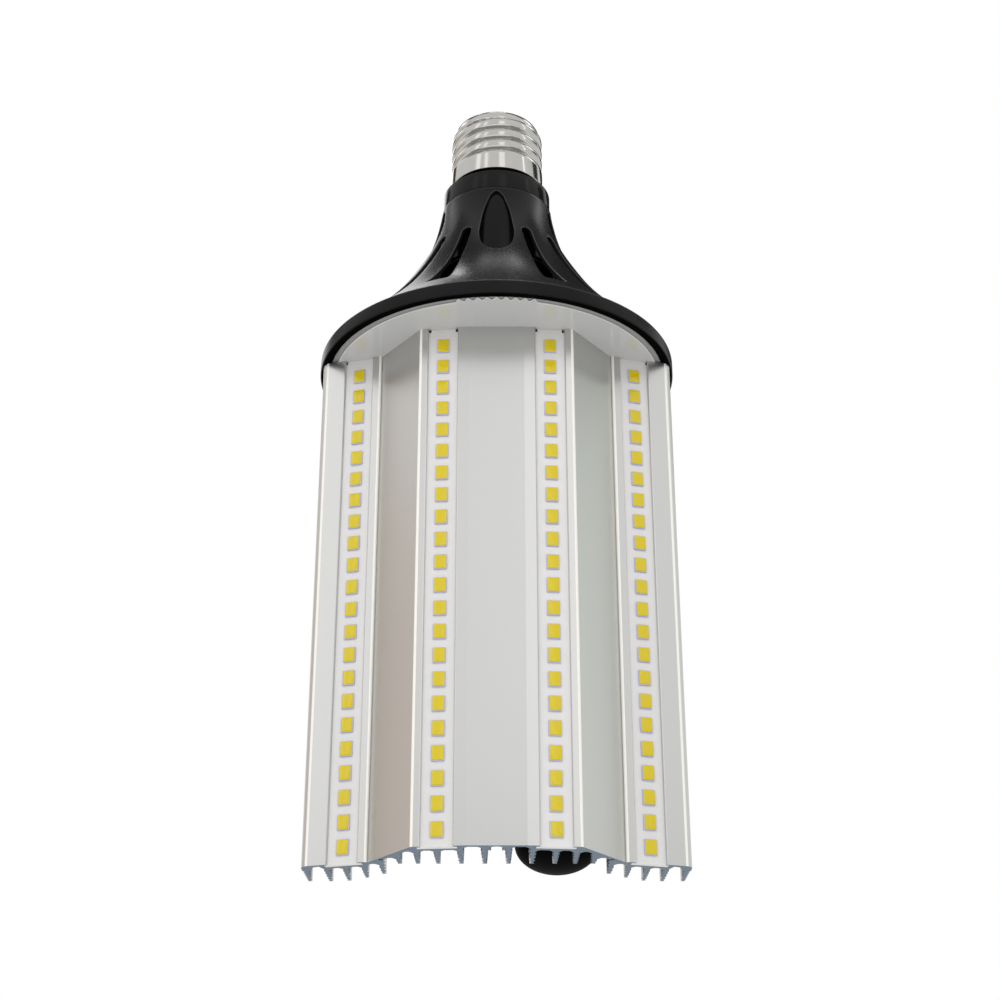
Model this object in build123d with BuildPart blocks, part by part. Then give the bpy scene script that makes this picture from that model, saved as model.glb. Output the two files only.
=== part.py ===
"""Half-round LED lamp: screw cap on a swivel, vented trumpet neck, finned extrusion with four LED rows.

Millimetres. The lamp axis is Z, the cut end of the extrusion stands at Z = 0, and the LEDs face -Y.
"""

import os
from math import cos, degrees, radians, sin, sqrt

from build123d import *

# Extruded heat sink
sink_length = 135.0
sink_half_width = 46.1
panel_front = 31.0  # centre panel ahead of the lamp axis
panel_flat = 7.0  # half of the centre panel, up to the strips beside the inner boards
panel_wall = 1.4
corner_round = 2.2
side_depth = 3.4
inner_lip = 2.0  # lip between inner board and slanted panel
outer_lip = 2.4  # lip between slanted panel and outer board
lip_rise = 0.8  # lips stand this far ahead of the board faces
lip_overlap = 0.8
lip_step = 0.6
slot_side = 0.6
slant_wall = 1.05

# Fins and screw ports of the heat sink
port_fin_x = 2.75
fin_root = 2.0
fin_tip = 1.25
fin_flare = 0.9
tooth_count = 5
tooth_depth = 0.42
bay_depth = 14.1  # tips of the middle fins ahead of the axis
fin_back = 3.3  # tips of the outermost fins behind the axis
board_fin_drop = 0.7
lip_fin_drop = 3.7
slant_fin_drop = 7.6
port_hole = 1.6
port_wall = 0.8
port_mouth = 2.5
mid_port_ahead = 28.3
side_port_hole = 0.6
side_port_ahead = 17.8

# LED boards and packages
board_width = 9.2
board_thick = 1.5
board_play = 0.1
board_corner = 1.2
inner_board_x = 13.6
inner_board_ahead = 29.4
inner_tilt = 5.0
outer_board_margin = 10.0  # face centre to the side of the heat sink
outer_board_ahead = 13.35
outer_tilt = 16.0
led_width = 3.15
led_length = 3.85
led_height = 0.7
led_count = 22
led_foot = 4.0
led_head = 5.0

# Reflector plate, inside the rim
plate_thick = 1.5
bite_radius = 1.05
bite_pitch = 2.42
bite_count = 8
wire_hole = 5.0

# Trumpet neck, heights above the plate's underside
rim_radius = 47.7
rim_wall = 2.2
rim_height = 3.7
rim_gap = 0.3  # around the plate
plate_play = 0.1
ledge = 1.6
neck_radius = 15.4
neck_height = 54.2
neck_wall = 2.1
neck_land = 6.0
neck_lean = 6.0
flare_radius = 48.0  # upper part of the flare
flare_turn = 15.0
vent_sets = 5
vent_step = 24.0
drop_tip = 52.5
drop_shoulder = 45.2
drop_wide = 36.0
drop_base = 27.4
drop_half = 4.75
drop_base_half = 1.8
drop_shoulder_half = 3.6
drop_tip_half = 1.4
slot_base = 12.0
slot_top = 39.0
slot_base_half = 3.1
slot_top_half = 1.5

# Sleeve inside the neck, and its spigot for the turning cap
sleeve_radius = 14.3
sleeve_wall = 1.5
sleeve_length = 20.2
sleeve_floor = 3.0
spigot_radius = 10.5
spigot_wall = 2.0
snap_lip = 0.7
snap_height = 1.2
swivel_gap = 0.06
collar_gap = 0.15
collar_height = 7.35
collar_low = 15.1
collar_high = 13.4
collar_spigot = 12.0
collar_spigot_length = 4.1

# Screw cap
shell_radius = 13.1
shell_bore = 12.1
shell_gap = 0.3
shell_length = 19.8
crown_height = 1.4
crown_hole = 9.3
insulator_high = 6.4
insulator_height = 3.2
contact_radius = 4.8
contact_height = 1.6
seat_gap = 0.05

# Driver capsule behind the fins
case_x = 14.5
case_radius = 10.2
case_wall = 1.5
case_dome = 6.8
dome_flat = 5.1
dome_knee = 60.0
case_clear = 0.5
case_foot = 0.2

# Driver, its parts placed by their share of the board's length
pcb_width = 16.0
pcb_thick = 1.6
pcb_foot = 10.0
pcb_top_gap = 0.4
pcb_offset = 2.2
part_gap = 0.05
can_radius = 3.15
can_length = 11.0
can_share = 0.19
choke_width = 8.0
choke_depth = 6.0
choke_length = 8.0
choke_share = 0.32
core_width = 11.0
core_depth = 7.0
core_length = 14.0
coil_width = 8.0
coil_depth = 5.6
coil_length = 14.8
core_share = 0.46
bridge_width = 7.0
bridge_depth = 3.0
bridge_length = 6.0
bridge_share = 0.6
film_width = 10.0
film_depth = 5.0
film_length = 13.0
film_share = 0.73
fuse_width = 8.0
fuse_depth = 4.0
fuse_length = 8.0
fuse_share = 0.88

# Derived sizes and levels
plate_radius = rim_radius - rim_wall - rim_gap
rim_inner = plate_radius + rim_gap
plate_top = sink_length + plate_thick
ledge_level = plate_top + plate_play
neck_top = sink_length + neck_height
collar_base = neck_top + collar_gap
collar_top = collar_base + collar_height
collar_spigot_top = collar_top + collar_spigot_length
snap_base = collar_spigot_top + collar_gap
snap_top = snap_base + snap_height
shell_base = collar_top + shell_gap
shell_top = shell_base + shell_length
crown_top = shell_top + crown_height
insulator_top = crown_top + insulator_height
contact_base = insulator_top + seat_gap
contact_top = contact_base + contact_height
slot_half = board_width / 2 + board_play
window_half = board_width / 2 - lip_overlap
slot_depth = board_thick + board_play
seat_back = slot_depth + panel_wall
led_pitch = (sink_length - led_foot - led_head) / (led_count - 1)
inner_board = (inner_board_x, -inner_board_ahead, inner_tilt)
outer_board = (sink_half_width - outer_board_margin, -outer_board_ahead, outer_tilt)
case_y = case_clear + case_radius - bay_depth
pcb_y = case_y + pcb_offset
pcb_face = pcb_y - pcb_thick / 2 - part_gap
pcb_top = sink_length - pcb_top_gap
front_angle = -90.0

os.makedirs("parts", exist_ok=True)


def save(piece, name):
    piece.part.label = name
    export_step(piece.part, f"parts/{name}.step")


def polar(radius, angle):
    return (radius * cos(radians(angle)), radius * sin(radians(angle)))


def on_board(board, along, ahead):
    """Point in the section, measured along a board from its middle and ahead of its face."""
    x, y, tilt = board
    turn = radians(tilt)
    return (x + along * cos(turn) + ahead * sin(turn), y + along * sin(turn) - ahead * cos(turn))


def radial_plane(angle):
    """Upright plane that touches the sleeve and faces out at an angle, with its origin at the plate."""
    out = (cos(radians(angle)), sin(radians(angle)), 0)
    across = (-sin(radians(angle)), cos(radians(angle)), 0)
    return Plane(origin=(*polar(sleeve_radius, angle), sink_length), x_dir=across, z_dir=out)


def up_the_board(share):
    """Height at a share of the driver board's length."""
    return pcb_foot + share * (pcb_top - pcb_foot)


# Half of the extrusion's front, from the middle outwards
panel_edge = on_board(inner_board, -window_half, 0)[0]
inner_turn = radians(inner_tilt)
strip_rise = (panel_front - inner_board_ahead) * cos(inner_turn)
strip_ahead = strip_rise - (inner_board_x - panel_flat) * sin(inner_turn)
corner_along = (sink_half_width - on_board(outer_board, 0, lip_rise)[0]) / cos(radians(outer_tilt))
corner_point = on_board(outer_board, corner_along, lip_rise)
slant_start = on_board(inner_board, window_half + inner_lip, lip_rise)
slant_end = on_board(outer_board, -window_half - outer_lip, lip_rise - lip_step)
wall_front = [
    (0, -panel_front),
    (panel_flat, -panel_front),
    on_board(inner_board, -window_half, strip_ahead),
    on_board(inner_board, window_half, lip_rise),
    slant_start,
    slant_end,
    on_board(outer_board, -window_half - outer_lip, lip_rise),
    corner_point,
    (sink_half_width, corner_point[1] + side_depth),
]

# Fins stand behind the wall's corners and evenly between them
inner_fin_x = inner_board_x + slot_half
outer_fin_x = on_board(outer_board, -slot_half - slot_side, 0)[0]
lip_fin_x = on_board(outer_board, slot_half - slot_side, 0)[0]
slant_pitch = (outer_fin_x - inner_fin_x) / 3
slant_fin_x = inner_fin_x + slant_pitch
side_port_x = slant_fin_x + slant_pitch
slant_rise = (slant_end[1] - slant_start[1]) / (slant_end[0] - slant_start[0])
bay_half = case_x + case_radius + case_clear + fin_root / 2
heel = fin_root / 4  # the floors step on this side of a fin's middle


def bay_floor(fin_x):
    """Depth of the flat floor that ends at a fin behind the slanted panel."""
    ahead = slant_start[1] + slant_rise * (fin_x - fin_root / 2 - slant_start[0])
    return ahead + slant_wall * sqrt(1 + slant_rise**2)


def fin_depth(x, tip):
    """Fins ahead of the driver capsule all end at the bay."""
    return -bay_depth if x < bay_half else tip


fins = [
    (port_fin_x, -bay_depth),
    (panel_edge - fin_root / 2 - slot_side, -bay_depth),
    (inner_board_x, -bay_depth),
    (inner_fin_x, -bay_depth),
    (slant_fin_x, fin_depth(slant_fin_x, fin_back - slant_fin_drop)),
    (side_port_x, fin_depth(side_port_x, fin_back - slant_fin_drop)),
    (outer_fin_x, fin_depth(outer_fin_x, fin_back - lip_fin_drop)),
    ((outer_fin_x + lip_fin_x) / 2, fin_back - board_fin_drop),
    (lip_fin_x, fin_back),
    (sink_half_width - fin_root / 2, fin_back),
]
mid_port = (0, -mid_port_ahead)
side_port = (side_port_x, -side_port_ahead)

# Half of the extrusion's rear, with a flat floor in each bay behind the slanted panel
wall_back = [
    (0, panel_wall - panel_front),
    (panel_edge - fin_root - slot_side, panel_wall - panel_front),
    on_board(inner_board, -slot_half - slot_side, -seat_back),
    on_board(inner_board, slot_half, -seat_back),
    (inner_fin_x, bay_floor(slant_fin_x)),
    (slant_fin_x - heel, bay_floor(slant_fin_x)),
    (slant_fin_x - heel, bay_floor(side_port_x)),
    (side_port_x - heel, bay_floor(side_port_x)),
    (side_port_x - heel, bay_floor(outer_fin_x)),
    (outer_fin_x - heel, bay_floor(outer_fin_x)),
    on_board(outer_board, slot_side - slot_half, -seat_back),
    on_board(outer_board, slot_half + slot_side, -seat_back),
    on_board(outer_board, slot_half + 2 * slot_side, lip_rise - panel_wall),
    (sink_half_width - fin_root, corner_point[1] + panel_wall),
    (sink_half_width - fin_root, corner_point[1] + side_depth),
]
slot_outline = [
    (-slot_half, board_play),
    (slot_half, board_play),
    (slot_half, -slot_depth),
    (-slot_half, -slot_depth),
]
window_outline = [
    (-window_half, panel_front),
    (window_half, panel_front),
    (window_half, 0),
    (-window_half, 0),
]


def back_of_wall(x):
    """Depth of the wall's rear face at x."""
    for (x0, y0), (x1, y1) in zip(wall_back, wall_back[1:]):
        if x0 <= x < x1:
            return y0 + (y1 - y0) * (x - x0) / (x1 - x0)
    return wall_back[-1][1]


def fin_root_at(x, side):
    """Foot of a fin's flare on the wall, and the point where the straight flank leaves it."""
    root_x = x + side * fin_root / 2
    foot_x = min(root_x + side * fin_flare, sink_half_width)
    spring = max(back_of_wall(root_x), back_of_wall(foot_x)) + fin_flare
    return [(foot_x, back_of_wall(foot_x) - panel_wall / 4), (root_x, spring)]


def fin_side(x, tip, side):
    """One serrated flank of a fin, from its flared root to its tip."""
    flank = fin_root_at(x, side)
    spring = flank[1][1]
    longest = tip - min(spring, fin_root_at(x, -side)[1][1])
    teeth = max(1, round(tooth_count * (tip - spring) / longest))
    for tooth in range(teeth):
        for step, cut in ((0.5, tooth_depth), (1.0, 0.0)):
            share = (tooth + step) / teeth
            half = (fin_root + (fin_tip - fin_root) * share) / 2 - cut
            flank.append((x + side * half, spring + share * (tip - spring)))
    return flank


with BuildPart() as heat_sink:
    with BuildSketch() as section:
        with BuildLine():
            Polyline(*wall_front, *reversed(wall_back), close=True)
        make_face()
        outer_corner = section.vertices().sort_by_distance(corner_point)[0]
        fillet(outer_corner, corner_round)
        for fin_x, fin_end in fins:
            left_flank = fin_side(fin_x, fin_end, -1)
            right_flank = fin_side(fin_x, fin_end, 1)
            fin_heel = (fin_x - heel, min(left_flank[0][1], right_flank[0][1]))
            with BuildLine():
                Polyline(fin_heel, *left_flank, *reversed(right_flank), close=True)
            make_face()
        with Locations(mid_port):
            Circle(port_hole + port_wall)
            Circle(port_hole, mode=Mode.SUBTRACT)
        with Locations(side_port):
            Circle(side_port_hole, mode=Mode.SUBTRACT)
        with Locations((0, port_hole + port_wall - mid_port_ahead)):
            Rectangle(port_mouth, 2 * port_wall + port_hole, mode=Mode.SUBTRACT)
        for board in (inner_board, outer_board):
            slot_corners = [on_board(board, *corner) for corner in slot_outline]
            window_corners = [on_board(board, *corner) for corner in window_outline]
            Polygon(*slot_corners, align=None, mode=Mode.SUBTRACT)
            Polygon(*window_corners, align=None, mode=Mode.SUBTRACT)
        mirror(about=Plane.YZ)
    extrude(amount=sink_length)
save(heat_sink, "heat_sink")

# Boards slide into the lipped grooves, and each carries one row of packages
boards = {
    "inner_board_left": (-1, inner_board),
    "inner_board_right": (1, inner_board),
    "outer_board_left": (-1, outer_board),
    "outer_board_right": (1, outer_board),
}
led_levels = [led_foot + led_pitch * i for i in range(led_count)]
for board_name, (side, board) in boards.items():
    tilt = side * board[2]
    board_x, board_y = on_board(board, 0, -board_thick / 2)
    led_x, led_y = on_board(board, 0, led_height / 2)
    with BuildPart() as led_board:
        with BuildSketch():
            with Locations(Location((side * board_x, board_y, 0), (0, 0, tilt))):
                Rectangle(board_width, board_thick)
        extrude(amount=sink_length)
        face_normal = Axis((0, 0, 0), (sin(radians(tilt)), -cos(radians(tilt)), 0))
        top_corners = led_board.edges().filter_by(face_normal).group_by(Axis.Z)[-1]
        chamfer(top_corners, board_corner)
    save(led_board, board_name)
    with BuildPart() as led_row:
        with Locations(*[Location((side * led_x, led_y, z), (0, 0, tilt)) for z in led_levels]):
            Box(led_width, led_height, led_length)
    save(led_row, board_name.replace("board", "leds"))

bite_angle = degrees(bite_pitch / plate_radius)
first_bite = front_angle - bite_angle * (bite_count - 1) / 2
bites = [polar(plate_radius, first_bite + bite_angle * i) for i in range(bite_count)]
with BuildPart() as reflector_plate:
    with BuildSketch(Plane.XY.offset(sink_length)):
        Circle(plate_radius)
        Circle(wire_hole, mode=Mode.SUBTRACT)
        with Locations(*bites):
            Circle(bite_radius, mode=Mode.SUBTRACT)
    extrude(amount=plate_thick)
save(reflector_plate, "reflector_plate")

# One moulding: rim, trumpet, inner sleeve and the spigot with its snap lip
drop_angles = [front_angle + 360 / vent_sets * i for i in range(vent_sets)]
drop_planes = [radial_plane(angle) for angle in drop_angles]
slot_planes = [radial_plane(angle + vent_step * n) for angle in drop_angles for n in (1, 2)]
drop_flank = [
    (drop_half, drop_wide),
    (drop_shoulder_half, drop_shoulder),
    (drop_tip_half, drop_tip - drop_tip_half),
]
drop_foot = [(drop_base_half, drop_base), (drop_half, drop_base + drop_half - drop_base_half)]
drop_right = drop_foot + drop_flank
drop_outline = drop_right + [(0, drop_tip)] + [(-x, h) for x, h in reversed(drop_right)]
slot_right = [
    (slot_base_half, slot_base),
    (slot_top_half, slot_top - slot_top_half),
    (slot_top_half / 2, slot_top),
]
slot_vent_outline = slot_right + [(-x, h) for x, h in reversed(slot_right)]
lean = (sin(radians(neck_lean)), -cos(radians(neck_lean)))
rim_shoulder = (rim_radius, sink_length + rim_height)
ledge_edge = (rim_inner - ledge, ledge_level)
with BuildPart() as neck_housing:
    with BuildSketch(Plane.XZ):
        with BuildLine():
            inner_start = (neck_radius - neck_wall, neck_top)
            outer_start = (neck_radius, neck_top)
            inner_radius = flare_radius + neck_wall
            upper = JernArc(outer_start, lean, flare_radius, flare_turn, mode=Mode.PRIVATE)
            lower = TangentArc(upper @ 1, rim_shoulder, tangent=upper % 1, mode=Mode.PRIVATE)
            inner_upper = JernArc(inner_start, lean, inner_radius, flare_turn, mode=Mode.PRIVATE)
            inner_tangent = inner_upper % 1
            inner_lower = TangentArc(inner_upper @ 1, ledge_edge, tangent=inner_tangent, mode=Mode.PRIVATE)
            Polyline(
                (spigot_radius, neck_top),
                upper @ 0,
                lower @ 0,
                lower @ (1 / 3),
                lower @ (2 / 3),
                rim_shoulder,
                (rim_radius, sink_length),
                (rim_inner, sink_length),
                (rim_inner, ledge_level),
                ledge_edge,
                inner_lower @ 0.5,
                inner_upper @ 1,
                (sleeve_radius, neck_top - neck_land),
                (sleeve_radius, neck_top - sleeve_length),
                (sleeve_radius - sleeve_wall, neck_top - sleeve_length),
                (sleeve_radius - sleeve_wall, neck_top - sleeve_floor),
                (spigot_radius - spigot_wall, neck_top - sleeve_floor),
                (spigot_radius - spigot_wall, snap_top),
                (spigot_radius, snap_top),
                (spigot_radius + snap_lip, snap_base),
                (spigot_radius, snap_base),
                close=True,
            )
        make_face()
    revolve(axis=Axis.Z)
    with BuildSketch(*drop_planes):
        Polygon(*drop_outline, align=None)
    extrude(amount=rim_radius, mode=Mode.SUBTRACT)
    with BuildSketch(*slot_planes):
        Polygon(*slot_vent_outline, align=None)
    extrude(amount=rim_radius, mode=Mode.SUBTRACT)
save(neck_housing, "neck_housing")

# The collar and the cap turn on the spigot
with BuildPart() as base_collar:
    with BuildSketch(Plane.XZ):
        with BuildLine():
            Polyline(
                (spigot_radius + swivel_gap, collar_base),
                (collar_low, collar_base),
                (collar_high, collar_top),
                (collar_spigot, collar_top),
                (collar_spigot, collar_spigot_top),
                (spigot_radius + swivel_gap, collar_spigot_top),
                close=True,
            )
        make_face()
    revolve(axis=Axis.Z)
save(base_collar, "base_collar")

with BuildPart() as screw_shell:
    with BuildSketch(Plane.XZ):
        with BuildLine():
            Polyline(
                (shell_bore, shell_base),
                (shell_radius, shell_base),
                (shell_radius, crown_top),
                (crown_hole, crown_top),
                (crown_hole, shell_top),
                (shell_bore, shell_top),
                close=True,
            )
        make_face()
    revolve(axis=Axis.Z)
save(screw_shell, "screw_shell")

with BuildPart() as cap_insulator:
    with BuildSketch(Plane.XZ):
        with BuildLine():
            Polyline(
                (0, shell_top),
                (crown_hole - seat_gap, shell_top),
                (insulator_high, insulator_top),
                (0, insulator_top),
                close=True,
            )
        make_face()
    revolve(axis=Axis.Z)
save(cap_insulator, "cap_insulator")

with BuildPart() as tip_contact:
    with BuildSketch(Plane.XZ):
        with BuildLine():
            Polyline(
                (0, contact_base),
                (contact_radius, contact_base),
                (contact_radius, contact_top),
                (0, contact_top),
                close=True,
            )
        make_face()
    revolve(axis=Axis.Z)
save(tip_contact, "tip_contact")

# Capsule with a blunt domed end, closed above by the plate
with BuildPart() as driver_case:
    with BuildSketch(Plane(origin=(case_x, case_y, 0), x_dir=(1, 0, 0), z_dir=(0, -1, 0))):
        with BuildLine():
            dome_top = case_foot + case_dome
            Polyline(
                (0, case_foot),
                (dome_flat, case_foot),
                (case_radius * sin(radians(dome_knee)), dome_top - case_dome * cos(radians(dome_knee))),
                (case_radius, dome_top),
                (case_radius, sink_length),
                (case_radius - case_wall, sink_length),
                (case_radius - case_wall, dome_top),
                (0, dome_top),
                close=True,
            )
        make_face()
    revolve(axis=Axis((case_x, case_y, 0), (0, 0, 1)))
save(driver_case, "driver_case")

# Driver board stands across the capsule, with its parts on the front face
with BuildPart() as driver_board:
    with Locations((case_x, pcb_y, (pcb_foot + pcb_top) / 2)):
        Box(pcb_width, pcb_thick, pcb_top - pcb_foot)
save(driver_board, "driver_board")

with BuildPart() as output_capacitor:
    with Locations((case_x, pcb_face - can_radius, up_the_board(can_share))):
        Cylinder(can_radius, can_length)
save(output_capacitor, "output_capacitor")

with BuildPart() as choke:
    with Locations((case_x, pcb_face - choke_depth / 2, up_the_board(choke_share))):
        Box(choke_width, choke_depth, choke_length)
save(choke, "choke")

with BuildPart() as transformer:
    with Locations((case_x, pcb_face - core_depth / 2, up_the_board(core_share))):
        Box(core_width, core_depth, core_length)
        Box(coil_width, coil_depth, coil_length)
save(transformer, "transformer")

with BuildPart() as rectifier:
    with Locations((case_x, pcb_face - bridge_depth / 2, up_the_board(bridge_share))):
        Box(bridge_width, bridge_depth, bridge_length)
save(rectifier, "rectifier")

with BuildPart() as input_capacitor:
    with Locations((case_x, pcb_face - film_depth / 2, up_the_board(film_share))):
        Box(film_width, film_depth, film_length)
save(input_capacitor, "input_capacitor")

with BuildPart() as fuse:
    with Locations((case_x, pcb_face - fuse_depth / 2, up_the_board(fuse_share))):
        Box(fuse_width, fuse_depth, fuse_length)
save(fuse, "fuse")
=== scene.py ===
from math import asin, atan2, cos, pi, radians, sin, tan, tau

import bmesh
import bpy
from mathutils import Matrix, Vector
from mathutils.geometry import delaunay_2d_cdt


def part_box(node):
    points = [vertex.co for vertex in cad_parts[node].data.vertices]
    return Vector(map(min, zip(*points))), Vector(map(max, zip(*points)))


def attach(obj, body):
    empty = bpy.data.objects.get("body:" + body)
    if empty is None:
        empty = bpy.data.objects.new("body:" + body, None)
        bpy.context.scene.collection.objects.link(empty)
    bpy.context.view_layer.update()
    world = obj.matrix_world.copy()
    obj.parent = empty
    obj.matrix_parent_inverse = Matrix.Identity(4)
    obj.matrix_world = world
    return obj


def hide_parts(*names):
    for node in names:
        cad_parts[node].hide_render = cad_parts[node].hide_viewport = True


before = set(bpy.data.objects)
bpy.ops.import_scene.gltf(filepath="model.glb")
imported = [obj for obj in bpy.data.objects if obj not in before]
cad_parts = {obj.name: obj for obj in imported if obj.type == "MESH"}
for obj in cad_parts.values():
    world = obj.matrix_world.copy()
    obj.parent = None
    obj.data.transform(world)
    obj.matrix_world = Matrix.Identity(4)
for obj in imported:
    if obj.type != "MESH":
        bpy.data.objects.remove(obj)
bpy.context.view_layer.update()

# Shapes are worked out in millimetres, and Blender takes metres
MM = 0.001
WELD = 1e-6  # metres
MERGE = 1e-5  # millimetres


def span(node):
    """Lowest and highest corner of a CAD node, in millimetres."""
    low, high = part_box(node)
    return [c / MM for c in low], [c / MM for c in high]


# Levels and radii that the frame gives
sink_top = span("heat_sink")[1][2]
rim_low, rim_high = span("neck_housing")
rim_level = rim_low[2]
rim_radius = rim_high[0]
collar_base = span("base_collar")[0][2]
collar_spigot_top = span("base_collar")[1][2]
shell_base = span("screw_shell")[0][2]
shell_top = span("screw_shell")[1][2]
shell_radius = span("screw_shell")[1][0]
insulator_base = span("cap_insulator")[0][2]
insulator_top = span("cap_insulator")[1][2]
insulator_radius = span("cap_insulator")[1][0]
contact_base = span("tip_contact")[0][2]
contact_top = span("tip_contact")[1][2]
contact_radius = span("tip_contact")[1][0]
case_low, case_high = span("driver_case")
case_centre = [(case_low[i] + case_high[i]) / 2 for i in range(2)]
case_radius = (case_high[0] - case_low[0]) / 2

# Rolled screw shell
skirt_lift = 0.2  # clear of the collar
skirt_length = 5.2
sheet = 0.3
rolled_edge = 0.28
roll_steps = 4
skirt_margin = 0.3  # from the skirt's last plain ring to the thread
thread_pitch = 3.63
thread_crest = 13.05
thread_root = 12.05
crest_power = 2.6  # broad crests over narrow grooves
crest_at_front = 8.7  # above the shell's base
thread_fade = 1.2
crown_drop = 2.8
crown_radius = 12.35
crown_hole = 9.3
crown_steps = 8
shell_segments = 168
thread_rows = 116

# Collar, insulator and contact of the cap
collar_radius = 15.05
collar_height = 5.5
collar_round = 0.22
collar_spigot = 12.0
collar_bore = 10.56
insulator_high = 6.4
insulator_taper = 0.5
insulator_rounds = (0.2, 0.8, 0.6)
contact_crown = 0.9
contact_share = 0.72  # of its radius, at the top
contact_rounds = (0.1, 0.3, 1.2)

# Trumpet neck: two arcs from the top to the rim, heights above the rim's lower edge
neck_radius = 15.4
neck_height = 54.2
neck_lean = radians(6.0)
knee_lean = radians(21.0)
upper_flare = 48.0
rim_shoulder = 3.7
knee_radius = neck_radius + upper_flare * (cos(neck_lean) - cos(knee_lean))
knee_height = neck_height - upper_flare * (sin(knee_lean) - sin(neck_lean))
knee_out = rim_radius - knee_radius
knee_drop = knee_height - rim_shoulder
lower_flare = (knee_out ** 2 + knee_drop ** 2) / 2 / (knee_out * cos(knee_lean) - knee_drop * sin(knee_lean))
neck_wall = 1.2
neck_edge = 0.35
rim_round = 0.5
rim_wall = 2.2
rim_foot_round = 0.3
ledge = 1.6
ledge_height = 1.6
vent_sets = 5
vent_step = radians(24.0)
vent_round = 0.28
vent_steps = 4
vent_clear = 0.4  # from an outline to the next free point
sector_columns = 36
flare_rows = 62
inner_rows = 40
front = radians(-90.0)
drop_points = [
    (0, 52.5), (1.5, 51.3), (2.4, 49.2), (3.6, 45.2), (4.45, 39.7),
    (4.75, 36.0), (4.26, 31.7), (2.7, 28.6), (0, 27.4),
]
slot_corners = [(3.2, 11.9, 0.6), (1.85, 24.0, 50.0), (1.35, 39.0, 1.25)]

# Sleeve seen through the vents, and the spigot that the cap turns on
sleeve_radius = 14.5
sleeve_foot = 17.6
sleeve_wall = 1.5
sleeve_length = 22.0
sleeve_floor = 3.0
sleeve_drop = 0.3  # below the neck's top
sleeve_round = 0.3
sleeve_fillet = 0.5
spigot_radius = 10.5
spigot_wall = 2.0
snap_lip = 0.7
snap_height = 1.2
snap_round = 0.2
snap_edge = 0.15
collar_gap = 0.15

# White disc: an upper flange and a lower face whose edge has a row of bites at the front
face_height = 0.45
face_inset = 1.35
bite_count = 8
bite_pitch = 2.42
bite_steps = 14
edge_steps = 150
edge_round = 0.22

# LED packages
led_count = 22
led_height = 0.7
led_width = 3.15
led_length = 3.85
frame_height = 0.46
frame_top = 0.54
phosphor_width = 2.8
phosphor_length = 3.5
frame_bevel = 0.12
phosphor_gap = 0.04
phosphor_draft = 0.06
phosphor_bevel = 0.22
phosphor_crown = 0.04
tilts = {"inner": radians(5.0), "outer": radians(16.0)}

# Painted shade on the boards at the top ends of the grooves beside them
groove_shade_places = (10.2, 17.05, 39.75)
groove_shade_half = 0.3
groove_shade_drop = 0.8

# Driver capsule
case_wall = 1.5
case_dome = 6.9

# Extrusion edges
fold_reach = 19.45
fold_bevel = 0.4
lip_reach = 30.36
lip_edge_bevel = 0.6
lip_bevel = 0.25
reach_slack = 0.3
edge_angle = radians(35.0)
fin_bevel = 0.04
notch_extra = 0.12
corner_reach = 44.4
corner_tilt = (0.3, 0.55)  # sideways part of a corner facet's normal
front_tilt = 0.3  # forward part of a front face's normal
flank_tilt = 0.8  # sideways part of a fin flank's normal
long_share = 0.5  # of the extrusion's length, for an edge that runs along it
fold_angle = radians(12.0)
broad_face = 1.0
merge_angle = radians(1.0)
flat_angle = radians(2.0)
crease_angle = radians(20.0)

# Camera, fitted to the photograph
camera_place = (0.0, -0.436, -0.104)
camera_rise = radians(25.117)
camera_lens = 65.70
camera_sensor = 36
camera_shift = 0.0034
floor_level = -0.15
floor_half = 3.0
studio_middle = Vector((0.0, 0.0, 0.09))
surround = 0.62  # of the white that the camera sees, as light on dull surfaces
floor_lift = 0.35  # brings the floor up to white where metal shows it

# Soft lamps: azimuth from the front and elevation in degrees, width, height and level
front_fill = (-6, 22, 1.2, 1.0, 1.3)  # polished surfaces don't show it
softboxes = {
    "key_strip": (13, 18, 0.26, 1.15, 0.58),
    "left_strip": (-25, 18, 0.15, 1.15, 0.6),
    "far_left_strip": (-45, 18, 0.2, 1.15, 0.65),
    "right_strip": (70, 18, 0.07, 1.15, 1.25),
    "top_lamp": (176, 74, 0.25, 0.2, 3.6),
    "back_lamp": (-165, 60, 0.1, 0.14, 5.0),
    "edge_lamp": (-157, 40, 0.5, 0.5, 0.9),
    "left_high_lamp": (-118, 52, 0.28, 0.32, 1.4),
    "right_high_lamp": (110, 52, 0.22, 0.32, 2.4),
}

# Cards: azimuth, elevation, width, height, screen colour and distance
cards = [
    ("warm_card", -98, 8, 1.0, 0.86, (227, 213, 203), 1.3),
    ("right_card", 106, 27, 0.8, 0.7, (240, 246, 240), 1.3),
    ("left_flag", -130, 34, 0.32, 0.3, (60, 56, 52), 1.3),
    ("right_flag", 112, 36, 0.36, 0.24, (60, 58, 56), 1.2),
    ("back_flag", 180, 70, 1.9, 1.0, (110, 110, 110), 1.4),
    ("right_shade", 157, 42, 0.7, 0.8, (48, 48, 50), 1.3),
    ("low_flag", -100, -33, 0.9, 0.17, (166, 166, 166), 0.26),
    ("low_flag", 0, -33, 0.9, 0.17, (166, 166, 166), 0.26),
    ("low_flag", 100, -33, 0.9, 0.17, (166, 166, 166), 0.26),
]


def srgb(red, green, blue):
    """Linear colour, with alpha, from 0 to 255 screen values."""
    def linear(value):
        share = value / 255
        return share / 12.92 if share <= 0.04045 else ((share + 0.055) / 1.055) ** 2.4
    return (linear(red), linear(green), linear(blue), 1.0)


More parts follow.
